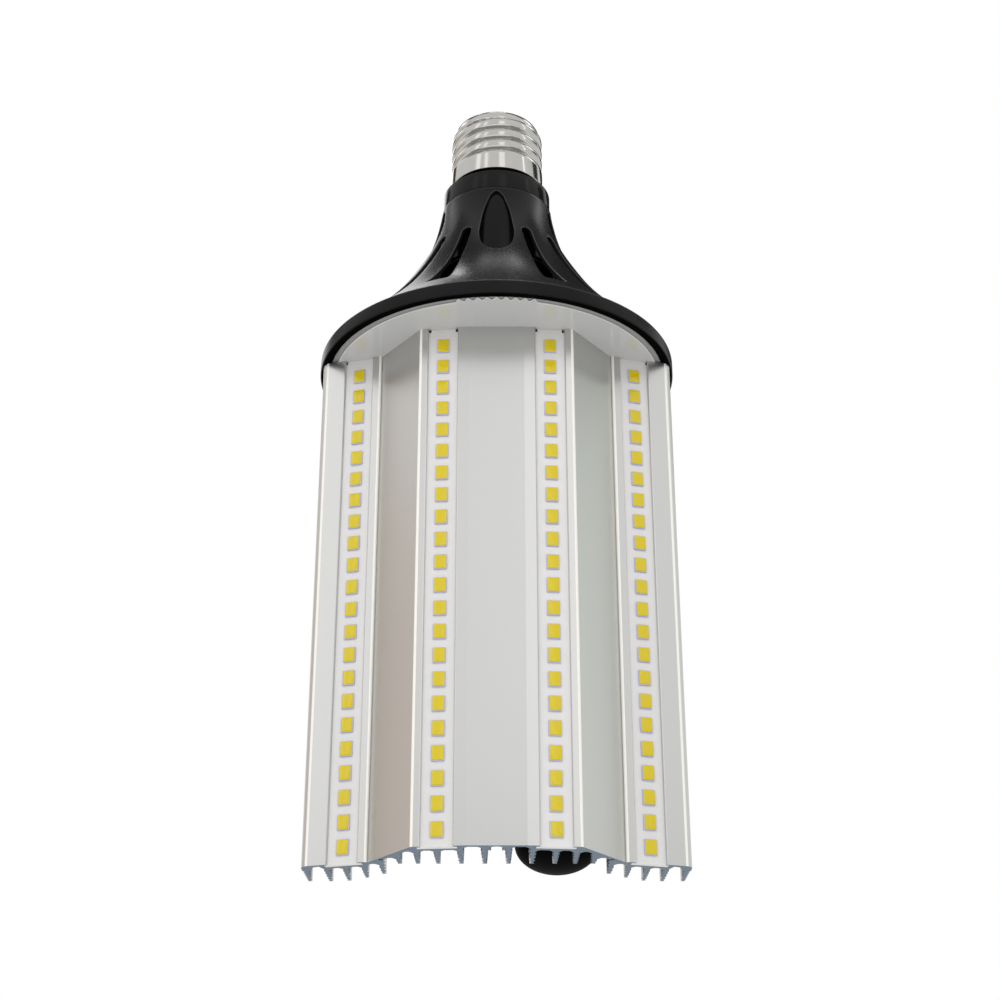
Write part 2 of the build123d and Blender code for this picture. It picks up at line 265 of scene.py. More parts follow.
class Finish:
    """One node material, built up from noise in object coordinates."""

    def __init__(self, name, metallic=0.0, roughness=0.4, gloss=0.5):
        self.material = bpy.data.materials.new(name)
        self.material.use_nodes = True
        self.nodes = self.material.node_tree.nodes
        self.shader = self.nodes["Principled BSDF"]
        self.shader.inputs["Metallic"].default_value = metallic
        self.shader.inputs["Roughness"].default_value = roughness
        self.shader.inputs["Specular IOR Level"].default_value = gloss
        self.place = self.nodes.new("ShaderNodeTexCoord")

    def link(self, source, target):
        self.material.node_tree.links.new(source, target)

    def noise(self, scale, stretch=(1, 1, 1), detail=3.0):
        """Noise factor with a scale in waves per metre along each axis."""
        mapping = self.nodes.new("ShaderNodeMapping")
        mapping.inputs["Scale"].default_value = stretch
        texture = self.nodes.new("ShaderNodeTexNoise")
        texture.inputs["Scale"].default_value = scale
        texture.inputs["Detail"].default_value = detail
        self.link(self.place.outputs["Object"], mapping.inputs["Vector"])
        self.link(mapping.outputs["Vector"], texture.inputs["Vector"])
        return texture.outputs["Fac"]

    def mix(self, factor, low, high):
        """Colour between two colours or sockets by a factor."""
        blend = self.nodes.new("ShaderNodeMix")
        blend.data_type = "RGBA"
        self.link(factor, blend.inputs["Factor"])
        for socket, value in ((blend.inputs[6], low), (blend.inputs[7], high)):
            if isinstance(value, tuple):
                socket.default_value = value
            else:
                self.link(value, socket)
        return blend.outputs[2]

    def ranged(self, factor, low, high, start=0.3, end=0.7):
        """A factor stretched from its usual span to another range."""
        ramp = self.nodes.new("ShaderNodeMapRange")
        ramp.inputs["From Min"].default_value = start
        ramp.inputs["From Max"].default_value = end
        ramp.inputs["To Min"].default_value = low
        ramp.inputs["To Max"].default_value = high
        self.link(factor, ramp.inputs["Value"])
        return ramp.outputs["Result"]

    def math(self, operation, *values):
        """Result of a sum on sockets and numbers."""
        node = self.nodes.new("ShaderNodeMath")
        node.operation = operation
        for socket, value in zip(node.inputs, values):
            if isinstance(value, float):
                socket.default_value = value
            else:
                self.link(value, socket)
        return node.outputs["Value"]

    def axes(self, output):
        """Parts along each axis of a texture coordinate."""
        parts = self.nodes.new("ShaderNodeSeparateXYZ")
        self.link(self.place.outputs[output], parts.inputs["Vector"])
        return parts.outputs

    def colour(self, socket):
        self.link(socket, self.shader.inputs["Base Color"])

    def rough(self, socket):
        self.link(socket, self.shader.inputs["Roughness"])

    def bump(self, factor, depth):
        """Relief of a depth in metres."""
        relief = self.nodes.new("ShaderNodeBump")
        relief.inputs["Distance"].default_value = depth
        self.link(factor, relief.inputs["Height"])
        self.link(relief.outputs["Normal"], self.shader.inputs["Normal"])


def grained(name, low, high, rough, scale, depth, stretch=(1, 1, 1), metallic=0.0, gloss=0.5):
    """Finish with colour, roughness and relief that vary with one grain."""
    finish = Finish(name, metallic, rough[0], gloss)
    grain = finish.noise(scale, stretch)
    finish.colour(finish.mix(grain, low, high))
    finish.rough(finish.ranged(grain, *rough))
    finish.bump(grain, depth)
    return finish.material


def aluminium():
    """Satin extrusion with a fine etched grain, and sawn ends with a real saw grain under a darker blue-grey
    painted shade.
    """
    finish = Finish("etched_aluminium")
    etched = finish.noise(7500, detail=3)
    clouds = finish.noise(35)
    grain = finish.mix(etched, srgb(199, 199, 197), srgb(206, 206, 204))
    panel = finish.mix(clouds, grain, srgb(202, 202, 200))
    saw = finish.noise(900, (0.25, 1, 1))
    # Sawn end faces: a real saw grain, with their darker blue-grey tone painted in as shade
    sawn_shade = finish.mix(saw, srgb(128, 141, 155), srgb(142, 155, 169))
    upright = finish.math("ABSOLUTE", finish.axes("Normal")["Z"])
    end_face = finish.ranged(upright, 0, 1, 0.6, 0.8)
    finish.colour(finish.mix(end_face, panel, sawn_shade))
    finish.link(finish.ranged(end_face, 0.92, 0.0, 0, 1), finish.shader.inputs["Metallic"])
    finish.link(finish.ranged(end_face, 0.5, 0.0, 0, 1), finish.shader.inputs["Specular IOR Level"])
    finish.rough(finish.ranged(etched, 0.28, 0.35))
    finish.bump(etched, 4e-7)
    return finish.material


def phosphor():
    """Yellow phosphor with a fine powder grain under a clear glossy face."""
    finish = Finish("phosphor", roughness=0.12, gloss=0.55)
    powder = finish.noise(5200, detail=4)
    patches = finish.noise(500)
    pale = finish.mix(powder, srgb(221, 200, 14), srgb(214, 191, 6))
    finish.colour(finish.mix(patches, pale, srgb(218, 196, 10)))
    finish.rough(finish.ranged(powder, 0.1, 0.16))
    finish.bump(powder, 1e-6)
    return finish.material


def solder_mask():
    """White board, with painted shade at its top corners where the grooves beside it end."""
    finish = Finish("white_mask", roughness=0.15)
    grain = finish.noise(1800)
    axes = finish.axes("Object")
    reach = finish.math("ABSOLUTE", axes["X"])
    groove_shade = finish.math("COMPARE", reach, groove_shade_places[0] * MM, groove_shade_half * MM)
    for place in groove_shade_places[1:]:
        beside = finish.math("COMPARE", reach, place * MM, groove_shade_half * MM)
        groove_shade = finish.math("MAXIMUM", groove_shade, beside)
    high = finish.math("GREATER_THAN", axes["Z"], (sink_top - groove_shade_drop) * MM)
    mask = finish.mix(grain, srgb(223, 222, 221), srgb(229, 228, 227))
    # The near-black spots at the groove ends are painted shade
    finish.colour(finish.mix(finish.math("MULTIPLY", groove_shade, high), mask, srgb(8, 8, 8)))
    finish.rough(finish.ranged(grain, 0.12, 0.2))
    finish.bump(grain, 2e-6)
    return finish.material


def build_finishes():
    """Materials of the lamp, by name."""
    return {
        "aluminium": aluminium(),
        # Painted highlight: a dull near-white finish on the extrusion's eased lip and fold edges and its
        # front corner facets
        "edge_highlight": grained(
            "painted_edge_highlight", srgb(249, 246, 238), srgb(253, 251, 244), (0.3, 0.4), 1200, 1e-6,
        ),
        "nickel": grained("nickel_plate", srgb(180, 178, 174), srgb(190, 188, 184), (0.1, 0.15), 420, 2e-6,
                          (1, 1, 0.3), metallic=1.0),
        "brass": grained("contact_brass", srgb(196, 172, 112), srgb(214, 194, 140), (0.22, 0.36), 900, 1e-5,
                         metallic=1.0),
        "glass": grained("cap_glass", srgb(16, 16, 17), srgb(26, 26, 28), (0.08, 0.16), 260, 1e-5),
        "neck": grained(
            "satin_moulding", srgb(15, 15, 15), srgb(21, 21, 21), (0.22, 0.3), 4200, 3e-6, gloss=0.14,
        ),
        # Painted highlight: a lighter, glossier copy of the black moulding on the rounded vent edges and the
        # rim's upper edge
        "vent_edge_highlight": grained(
            "moulding_edge_highlight", srgb(20, 20, 20), srgb(27, 27, 27), (0.24, 0.32), 4200, 3e-6, gloss=0.35,
        ),
        "rim": grained(
            "rim_moulding", srgb(17, 17, 17), srgb(23, 23, 23), (0.26, 0.34), 4200, 4e-6, gloss=0.1,
        ),
        "collar": grained(
            "collar_moulding", srgb(15, 15, 15), srgb(20, 20, 20), (0.12, 0.18), 2600, 2e-6, gloss=0.14,
        ),
        # Painted shade: a darker, dull copy of the black moulding on the neck's inner faces, and on the white
        # disc's top face inside the neck
        "inside": grained(
            "inner_shade_moulding", srgb(8, 8, 8), srgb(13, 13, 13), (0.6, 0.8), 2600, 4e-6, gloss=0.0,
        ),
        "sleeve": grained(
            "gloss_moulding", srgb(12, 12, 13), srgb(18, 18, 19), (0.14, 0.2), 1500, 2e-6, gloss=0.12,
        ),
        "case": grained("case_moulding", srgb(7, 7, 7), srgb(10, 10, 10), (0.5, 0.6), 3600, 5e-6, gloss=0.02),
        "plate": grained(
            "gloss_white", srgb(211, 211, 211), srgb(217, 217, 217), (0.005, 0.015), 700, 1e-7, gloss=1.0,
        ),
        # Painted highlight: the disc's rounded lower edge is whiter than its face, for the light line it
        # catches
        "plate_highlight_line": grained(
            "highlight_white", srgb(230, 230, 230), srgb(236, 236, 236), (0.1, 0.2), 700, 1e-6,
        ),
        # Painted shade: the white disc's flange and side walls are grey, for the shade under the rim
        "plate_edge_shade": grained("disc_edge", srgb(158, 158, 158), srgb(168, 168, 168), (0.35, 0.45), 900, 4e-6),
        "board": solder_mask(),
        # Painted shade: the pale resin frames are tinted lavender grey, the shade their side walls show
        "frame": grained("shaded_package_resin", srgb(190, 189, 217), srgb(204, 203, 228), (0.28, 0.4), 2500, 4e-6),
        "phosphor": phosphor(),
        "circuit": grained("green_mask", srgb(48, 118, 74), srgb(62, 134, 86), (0.3, 0.45), 1200, 6e-6),
        "ferrite": grained("ferrite_grey", srgb(66, 66, 69), srgb(84, 84, 88), (0.5, 0.7), 2400, 2e-5),
        "film": grained("blue_sleeve", srgb(58, 72, 112), srgb(70, 86, 128), (0.25, 0.4), 900, 6e-6),
        "chip": grained("chip_resin", srgb(44, 44, 46), srgb(58, 58, 60), (0.4, 0.55), 3000, 8e-6),
    }


finishes = build_finishes()


def new_object(name, mesh, *finish_names):
    """Object from a mesh, with its materials."""
    for finish_name in finish_names:
        mesh.materials.append(finishes[finish_name])
    piece = bpy.data.objects.new(name, mesh)
    bpy.context.scene.collection.objects.link(piece)
    return piece


def welded_mesh(name, points, faces, sharp=radians(40), slots=None):
    """Smooth-shaded mesh from millimetre points, with shared points joined and normals outward."""
    mesh = bpy.data.meshes.new(name)
    mesh.from_pydata([tuple(c * MM for c in point) for point in points], [], faces)
    if slots:
        mesh.polygons.foreach_set("material_index", slots)
    shape = bmesh.new()
    shape.from_mesh(mesh)
    bmesh.ops.remove_doubles(shape, verts=shape.verts, dist=WELD)
    bmesh.ops.dissolve_degenerate(shape, dist=WELD, edges=shape.edges)
    bmesh.ops.recalc_face_normals(shape, faces=shape.faces)
    shape.to_mesh(mesh)
    shape.free()
    mesh.shade_smooth()
    mesh.set_sharp_from_angle(angle=sharp)
    return mesh


def rounded_path(corners, steps=5):
    """Points along a path whose corners (x, y, radius) are turned into arcs."""
    points = []
    for i, (x, y, radius) in enumerate(corners):
        here = Vector((x, y))
        if radius == 0:
            points.append(tuple(here))
            continue
        back = (Vector(corners[i - 1][:2]) - here).normalized()
        ahead = (Vector(corners[(i + 1) % len(corners)][:2]) - here).normalized()
        half = back.angle(ahead) / 2
        centre = here + (back + ahead).normalized() * radius / sin(half)
        start = here + back * radius / tan(half) - centre
        end = here + ahead * radius / tan(half) - centre
        first = atan2(start.y, start.x)
        sweep = (atan2(end.y, end.x) - first + pi) % tau - pi
        for step in range(steps + 1):
            angle = first + sweep * step / steps
            points.append((centre.x + radius * cos(angle), centre.y + radius * sin(angle)))
    return points


def ring_faces(rings, segments, closed):
    """Quads between rings of points that follow each other."""
    faces = []
    for ring in range(rings if closed else rings - 1):
        above = (ring + 1) % rings
        for i in range(segments):
            j = (i + 1) % segments
            low, high = ring * segments, above * segments
            faces.append((low + i, low + j, high + j, high + i))
    return faces


def lathe(name, profile, finish_name, segments=128, centre=(0, 0), closed=True):
    """Piece turned from (radius, height) points about an upright axis."""
    turns = [tau * i / segments for i in range(segments)]
    points = [(centre[0] + r * cos(a), centre[1] + r * sin(a), z) for r, z in profile for a in turns]
    mesh = welded_mesh(name, points, ring_faces(len(profile), segments, closed))
    return new_object(name, mesh, finish_name)


def smoothstep(low, high, value):
    """Soft rise from 0 to 1 between two values."""
    share = min(max((value - low) / (high - low), 0), 1)
    return share * share * (3 - 2 * share)


def thread_radius(angle, height):
    """Rolled round thread, faded into the plain skirt below and the crown above."""
    skirt_top = shell_base + skirt_length
    crown_base = shell_top - crown_drop
    turn = (height - shell_base - crest_at_front) / thread_pitch - (angle - front) / tau
    wave = thread_crest - (thread_crest - thread_root) * abs(2 * (turn - round(turn))) ** crest_power
    rise = smoothstep(skirt_top, skirt_top + thread_fade, height)
    fall = smoothstep(crown_base - thread_fade, crown_base, height)
    body = shell_radius + (wave - shell_radius) * rise
    return body + (crown_radius - body) * fall


def rolled_shell():
    """Thin shell with a plain skirt, a rolled thread and a round crown."""
    foot = shell_base + skirt_lift
    skirt_top = shell_base + skirt_length
    crown_base = shell_top - crown_drop
    turns = [tau * i / shell_segments for i in range(shell_segments)]
    rings = []
    for step in range(roll_steps + 1):
        lift = radians(90 * step / roll_steps)
        edge = shell_radius - rolled_edge * (1 - sin(lift))
        rings.append([(edge, foot + rolled_edge * (1 - cos(lift)))] * shell_segments)
    rings.append([(shell_radius, skirt_top - skirt_margin)] * shell_segments)
    for row in range(thread_rows + 1):
        height = skirt_top + (crown_base - skirt_top) * row / thread_rows
        rings.append([(thread_radius(angle, height), height) for angle in turns])
    for step in range(1, crown_steps + 1):
        lift = radians(90 * step / crown_steps)
        inward = crown_radius - crown_drop * (1 - cos(lift))
        rings.append([(inward, crown_base + crown_drop * sin(lift))] * shell_segments)
    rings.append([(crown_hole, shell_top)] * shell_segments)
    formed = rings[roll_steps + 2:-1]
    inner = [[(radius - sheet, height - sheet) for radius, height in ring] for ring in formed]
    rings.append([(crown_hole, shell_top - sheet)] * shell_segments)
    rings.extend(reversed(inner))
    rings.append([(shell_radius - sheet - rolled_edge, foot)] * shell_segments)
    points = [(r * cos(a), r * sin(a), z) for ring in rings for (r, z), a in zip(ring, turns)]
    mesh = welded_mesh("rolled_shell", points, ring_faces(len(rings), shell_segments, True))
    return new_object("rolled_shell", mesh, "nickel")


def build_cap():
    """Shell, insulator, contact and collar, which turn together."""
    collar_top = collar_base + collar_height
    insulator_profile = rounded_path([
        (0, insulator_base, 0),
        (insulator_radius, insulator_base, insulator_rounds[0]),
        (insulator_radius - insulator_taper, shell_top, insulator_rounds[1]),
        (insulator_high, insulator_top, insulator_rounds[2]),
        (0, insulator_top, 0),
    ])
    contact_profile = rounded_path([
        (0, contact_base, 0),
        (contact_radius, contact_base, contact_rounds[0]),
        (contact_radius, contact_top - contact_crown, contact_rounds[1]),
        (contact_radius * contact_share, contact_top, contact_rounds[2]),
        (0, contact_top, 0),
    ])
    collar_profile = rounded_path([
        (collar_bore, collar_base, 0),
        (collar_radius, collar_base, collar_round),
        (collar_radius, collar_top, collar_round),
        (collar_spigot, collar_top, 0),
        (collar_spigot, collar_spigot_top, 0),
        (collar_bore, collar_spigot_top, 0),
    ])
    pieces = [
        (rolled_shell(), "screw_shell", "cap_metal"),
        (lathe("cap_glass", insulator_profile, "glass", closed=False), "cap_insulator", "insulator"),
        (lathe("contact_button", contact_profile, "brass", closed=False), "tip_contact", "contact"),
        (lathe("turning_collar", collar_profile, "collar", 160), "base_collar", "neck_black"),
    ]
    for piece, node, slot in pieces:
        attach(piece, "cap")
        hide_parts(node)


def flare_point(turn, sunk=0.0):
    """Radius and height on the flare where it leans by an angle, sunk below its outer face."""
    if turn < knee_lean:
        radius = neck_radius + upper_flare * (cos(neck_lean) - cos(turn))
        height = neck_height - upper_flare * (sin(turn) - sin(neck_lean))
    else:
        radius = knee_radius + lower_flare * (cos(knee_lean) - cos(turn))
        height = knee_height - lower_flare * (sin(turn) - sin(knee_lean))
    return radius - sunk * cos(turn), height - sunk * sin(turn)


def flare_lean(height, sunk=0.0):
    """Lean of the flare at a height, on its outer face or below it."""
    if height > knee_height - sunk * sin(knee_lean):
        return asin((neck_height + upper_flare * sin(neck_lean) - height) / (upper_flare + sunk))
    return asin((knee_height + lower_flare * sin(knee_lean) - height) / (lower_flare + sunk))


def on_flare(angle, turn, sunk=0.0):
    """Point on the flare at an angle from the front."""
    radius, height = flare_point(turn, sunk)
    return (radius * cos(front + angle), radius * sin(front + angle), rim_level + height)


def smooth_loop(points, steps=4):
    """Closed curve through points."""
    count = len(points)
    curve = []
    for i in range(count):
        p0, p1, p2, p3 = (Vector(points[(i + k) % count]) for k in (-1, 0, 1, 2))
        for step in range(steps):
            t = step / steps
            bend = (2 * p0 - 5 * p1 + 4 * p2 - p3) * t * t + (3 * p1 - p0 - 3 * p2 + p3) * t ** 3
            curve.append(tuple((2 * p1 + (p2 - p0) * t + bend) / 2))
    return curve


def finely(loop, step=0.9):
    """A closed loop with its long sides divided."""
    points = []
    for i, start in enumerate(loop):
        a, b = Vector(start), Vector(loop[(i + 1) % len(loop)])
        pieces = max(1, round((b - a).length / step))
        points.extend(tuple(a.lerp(b, k / pieces)) for k in range(pieces))
    return points


def vent_loops():
    """Vent outlines in one sector: middle angle and loop of (across, height)."""
    drop_left = [(-x, h) for x, h in drop_points[1:-1]]
    drop = smooth_loop(list(reversed(drop_points)) + drop_left)
    slot_left = [(-x, h, r) for x, h, r in reversed(slot_corners)]
    slot = finely(rounded_path(slot_corners + slot_left))
    return [(0.0, drop), (vent_step, slot), (-vent_step, slot)]


def loop_on_flare(middle, loop, sunk=0.0):
    """Angle and lean of a vent's outline where its straight walls meet a face of the flare."""
    places = []
    for across, height in loop:
        turn = flare_lean(height, sunk)
        places.append((middle + asin(across / flare_point(turn, sunk)[0]), turn))
    return places


def widened(places, width):
    """An outline on the flare's outer face, moved outwards by a width."""
    moved = []
    for i, (angle, turn) in enumerate(places):
        radius = flare_point(turn)[0]
        bend = upper_flare if turn < knee_lean else lower_flare
        last, after = places[i - 1], places[(i + 1) % len(places)]
        along = Vector(((after[0] - last[0]) * radius, (after[1] - last[1]) * bend)).normalized()
        out = Vector((along.y, -along.x))
        moved.append((angle + width * out.x / radius, turn + width * out.y / bend))
    return moved


def outward(places):
    """An outline that runs so that widened() moves it away from its middle."""
    area = sum(a[0] * b[1] - b[0] * a[1] for a, b in zip(places, places[1:] + places[:1]))
    return places if area > 0 else places[::-1]


def inside(point, loop):
    """Whether a point lies in a closed loop."""
    x, y = point
    hit = False
    for (x0, y0), (x1, y1) in zip(loop, loop[1:] + loop[:1]):
        if (y0 > y) != (y1 > y) and x < x0 + (y - y0) * (x1 - x0) / (y1 - y0):
            hit = not hit
    return hit


def pierced_face(leans, loops, sunk):
    """Triangles of one sector of the flare with vents left open, as points and faces."""
    mean_radius = flare_point(leans[len(leans) // 2])[0]
    mean_flare = (upper_flare + lower_flare) / 2
    half = pi / vent_sets
    columns = [-half + 2 * half * i / sector_columns for i in range(sector_columns + 1)]

    def flat(place):
        return Vector((place[0] * mean_radius, place[1] * mean_flare))

    flat_loops = [[tuple(flat(place)) for place in loop] for loop in loops]
    places = []
    edges = []
    for loop in flat_loops:
        start = len(places)
        places.extend(Vector(point) for point in loop)
        edges.extend((start + i, start + (i + 1) % len(loop)) for i in range(len(loop)))
    rim_points = len(places)
    for row, turn in enumerate(leans):
        for column, angle in enumerate(columns):
            point = flat((angle, turn))
            border = row in (0, len(leans) - 1) or column in (0, sector_columns)
            near = any((point - other).length < vent_clear for other in places[:rim_points])
            if border or not (near or any(inside(point, loop) for loop in flat_loops)):
                places.append(point)
    corners, _, faces = delaunay_2d_cdt(places, edges, [], 0, MERGE)[:3]
    kept = []
    for face in faces:
        middle = sum((corners[i] for i in face), Vector((0, 0))) / len(face)
        if not any(inside(middle, loop) for loop in flat_loops):
            kept.append(tuple(face))
    points = [on_flare(c.x / mean_radius, c.y / mean_flare, sunk) for c in corners]
    return points, kept


def neck_sector():
    """One fifth of the trumpet with its teardrop and two slots."""
    points = []
    faces = []
    slots = []
    outer_slot, rim_slot, inner_shade_slot, edge_slot = range(4)

    def add(new_points, new_faces, slot):
        base = len(points)
        points.extend(new_points)
        faces.extend(tuple(base + i for i in face) for face in new_faces)
        slots.extend([slot] * len(new_faces))

    top_lean = flare_lean(neck_height - neck_edge)
    foot_lean = flare_lean(rim_shoulder + rim_round)
    inner_foot = flare_lean(rim_shoulder - rim_foot_round, neck_wall)
    inner_top = flare_lean(neck_height, neck_wall)
    outer = [top_lean + (foot_lean - top_lean) * i / flare_rows for i in range(flare_rows + 1)]
    inner = [inner_top + (inner_foot - inner_top) * i / inner_rows for i in range(inner_rows + 1)]
    vents = vent_loops()
    openings = [outward(loop_on_flare(middle, loop)) for middle, loop in vents]
    backs = [outward(loop_on_flare(middle, loop, neck_wall)) for middle, loop in vents]
    add(*pierced_face(outer, [widened(loop, vent_round) for loop in openings], 0.0), outer_slot)
    # The inner face of the neck takes the painted shade finish
    add(*pierced_face(inner, backs, neck_wall), inner_shade_slot)
    for opening, back in zip(openings, backs):
        rows = []
        for step in range(vent_steps + 1):
            lift = radians(90 * step / vent_steps)
            ring = widened(opening, vent_round * (1 - sin(lift)))
            rows.append([on_flare(*place, vent_round * (1 - cos(lift))) for place in ring])
        rounding = [point for row in rows for point in row]
        # The rounded vent edges take the painted highlight finish
        add(rounding, ring_faces(len(rows), len(opening), False), edge_slot)
        wall = rows[-1] + [on_flare(*place, neck_wall) for place in back]
        add(wall, ring_faces(2, len(opening), False), rim_slot)
    rim_inner = rim_radius - rim_wall
    outline = rounded_path([
        (*flare_point(foot_lean), 0),
        (rim_radius, rim_shoulder, rim_round),
        (rim_radius, 0, rim_foot_round),
        (rim_inner, 0, rim_foot_round / 2),
        (rim_inner, ledge_height, 0),
        (rim_inner - ledge, ledge_height, 0),
        (*flare_point(inner_foot, neck_wall), 0),
    ])
    crown = [
        flare_point(inner_top, neck_wall),
        (neck_radius - neck_edge, neck_height),
        (neck_radius - neck_edge / 4, neck_height - neck_edge / 3),
        flare_point(top_lean),
    ]
    half = pi / vent_sets
    columns = [front - half + 2 * half * i / sector_columns for i in range(sector_columns + 1)]
    shoulder, foot = 6, 12  # last points of the rim's upper and lower rounding
    bands = (
        (outline[:2], outer_slot),
        # The rim's upper rounding takes the painted highlight finish too
        (outline[1:shoulder + 1], edge_slot),
        (outline[shoulder:foot + 1], rim_slot),
        (outline[foot:], inner_shade_slot),
        (crown, outer_slot),
    )
    for profile, slot in bands:
        wall = [(r * cos(a), r * sin(a), rim_level + h) for r, h in profile for a in columns]
        width = len(columns)
        quads = [
            (row * width + i, row * width + i + 1, (row + 1) * width + i + 1, (row + 1) * width + i)
            for row in range(len(profile) - 1)
            for i in range(sector_columns)
        ]
        add(wall, quads, slot)
    return points, faces, slots


def build_neck():
    """Vented trumpet with the sleeve and spigot inside it."""
    sector_points, sector_faces, sector_slots = neck_sector()
    points = []
    faces = []
    for turn in range(vent_sets):
        angle = tau * turn / vent_sets
        base = len(points)
        points.extend(
            (x * cos(angle) - y * sin(angle), x * sin(angle) + y * cos(angle), z)
            for x, y, z in sector_points
        )
        faces.extend(tuple(base + i for i in face) for face in sector_faces)
    mesh = welded_mesh("vented_trumpet", points, faces, sharp=radians(38), slots=sector_slots * vent_sets)
    trumpet = new_object("vented_trumpet", mesh, "neck", "rim", "inside", "vent_edge_highlight")
    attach(trumpet, "lamp")
    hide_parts("neck_housing")

    top = rim_level + neck_height
    snap_base = collar_spigot_top + collar_gap
    sleeve_profile = rounded_path([
        (sleeve_radius, top - sleeve_drop, 0),
        (sleeve_foot, top - sleeve_length, sleeve_round),
        (sleeve_foot - sleeve_wall, top - sleeve_length, sleeve_round),
        (sleeve_radius - sleeve_wall, top - sleeve_floor, sleeve_fillet),
        (spigot_radius - spigot_wall, top - sleeve_floor, sleeve_round),
        (spigot_radius - spigot_wall, snap_base + snap_height, snap_round),
        (spigot_radius, snap_base + snap_height, snap_round),
        (spigot_radius + snap_lip, snap_base, snap_edge),
        (spigot_radius, snap_base, 0),
        (spigot_radius, top - sleeve_drop, 0),
    ])
    sleeve = lathe("inner_sleeve", sleeve_profile, "sleeve")
    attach(sleeve, "lamp")


def disc_edge(plate_radius):
    """Angles round the disc, with the radius of its lower face at each."""
    bite = bite_pitch / plate_radius
    end = bite * (bite_count + 1) / 2
    places = []
    for step in range((bite_count + 1) * bite_steps + 1):
        angle = bite * step / bite_steps - end
        depth = face_inset * (0.5 + 0.5 * cos(tau * (angle / bite - 0.5)))
        places.append((angle, plate_radius - depth))
    for step in range(1, edge_steps):
        places.append((end + (tau - 2 * end) * step / edge_steps, plate_radius - face_inset))
    return places


def build_disc():
    """White disc with a stepped edge and a row of bites at the front."""
    low, high = span("reflector_plate")
    plate_radius = high[0]
    step = low[2] + face_height
    places = disc_edge(plate_radius)
    face_slot, edge_slot, highlight_slot, top_shade_slot = range(4)
    rings = []
    # The rounded lower edge takes the painted highlight finish
    for lift in (0, pi / 4, pi / 2):
        inset, height = edge_round * (1 - sin(lift)), low[2] + edge_round * (1 - cos(lift))
        rings.append([(radius - inset, height) for _, radius in places])
    rings.append([(radius, step) for _, radius in places])
    rings.extend([(plate_radius, height)] * len(places) for height in (step, high[2]))
    points = [
        (radius * cos(front + angle), radius * sin(front + angle), height)
        for ring in rings
        for (angle, _), (radius, height) in zip(places, ring)
    ]
    faces = ring_faces(len(rings), len(places), False)
    # The flange and side walls take the painted shade finish
    slots = [highlight_slot if quad < 2 * len(places) else edge_slot for quad in range(len(faces))]
    last = len(points) - len(places)
    faces.append(tuple(range(len(places))))
    faces.append(tuple(range(last, len(points))))
    mesh = welded_mesh("stepped_disc", points, faces, sharp=radians(50), slots=slots + [face_slot, top_shade_slot])
    for face in mesh.polygons:
        face.use_smooth = face.loop_total < len(places) // 2
    # The disc's top face, inside the neck, takes the black painted shade finish
    disc = new_object("stepped_disc", mesh, "plate", "plate_edge_shade", "plate_highlight_line", "inside")
    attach(disc, "lamp")
    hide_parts("reflector_plate")


def rounded_rectangle(width, length, radius=0.18, steps=2):
    """Outline of a package about its middle."""
    x, z = width / 2, length / 2
    return rounded_path([(x, z, radius), (-x, z, radius), (-x, -z, radius), (x, -z, radius)], steps)


def build_led_row(row, side, node):
    """Packages of one row: pale frames with a raised yellow phosphor."""
    low, high = span(node)
    tilt = tilts[row] * side
    across = Vector((cos(tilt), sin(tilt), 0))
    out = Vector((sin(tilt), -cos(tilt), 0))
    middle = Vector(((low[0] + high[0]) / 2, (low[1] + high[1]) / 2, 0)) - out * led_height / 2
    pitch = (high[2] - low[2] - led_length) / (led_count - 1)
    resin, yellow = range(2)

    def body(margin):
        return rounded_rectangle(led_width + margin, led_length + margin)

    def window(margin):
        return rounded_rectangle(phosphor_width + margin, phosphor_length + margin)

    loops = [
        (body(0), 0.0, resin),
        (body(0), frame_height, resin),
        (body(-frame_bevel), frame_top, resin),
        (window(phosphor_gap), frame_top, resin),
        (window(0), frame_top, yellow),
        (window(-phosphor_draft), led_height - phosphor_crown, yellow),
        (window(-phosphor_bevel), led_height, yellow),
    ]
    size = len(loops[0][0])
    points = []
    faces = []
    slots = []
    for package in range(led_count):
        base = len(points)
        level = low[2] + led_length / 2 + pitch * package
        for loop, height, _ in loops:
            place = middle + out * height
            points.extend(tuple(place + across * x + Vector((0, 0, level + z))) for x, z in loop)
        for quad, face in enumerate(ring_faces(len(loops), size, False)):
            faces.append(tuple(base + i for i in face))
            slots.append(loops[quad // size + 1][2])
        faces.append(tuple(base + (len(loops) - 1) * size + i for i in range(size)))
        slots.append(yellow)
        faces.append(tuple(base + i for i in range(size)))
        slots.append(resin)
    mesh = welded_mesh(f"{node}_packages", points, faces, sharp=radians(30), slots=slots)
    piece = new_object(f"{node}_packages", mesh, "frame", "phosphor")
    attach(piece, "lamp")
    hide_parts(node)


def build_capsule():
    """Driver case with its rounded end."""
    dome = [
        (case_radius * sin(radians(a)), case_low[2] + case_dome * (1 - cos(radians(a))))
        for a in range(0, 91, 6)
    ]
    inner = case_radius - case_wall
    rest = [(case_radius, case_high[2]), (inner, case_high[2]), (inner, case_low[2] + case_dome)]
    profile = dome + rest + [(0, case_low[2] + case_dome)]
    capsule = lathe("driver_capsule", profile, "case", 112, case_centre, closed=False)
    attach(capsule, "lamp")
    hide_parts("driver_case")


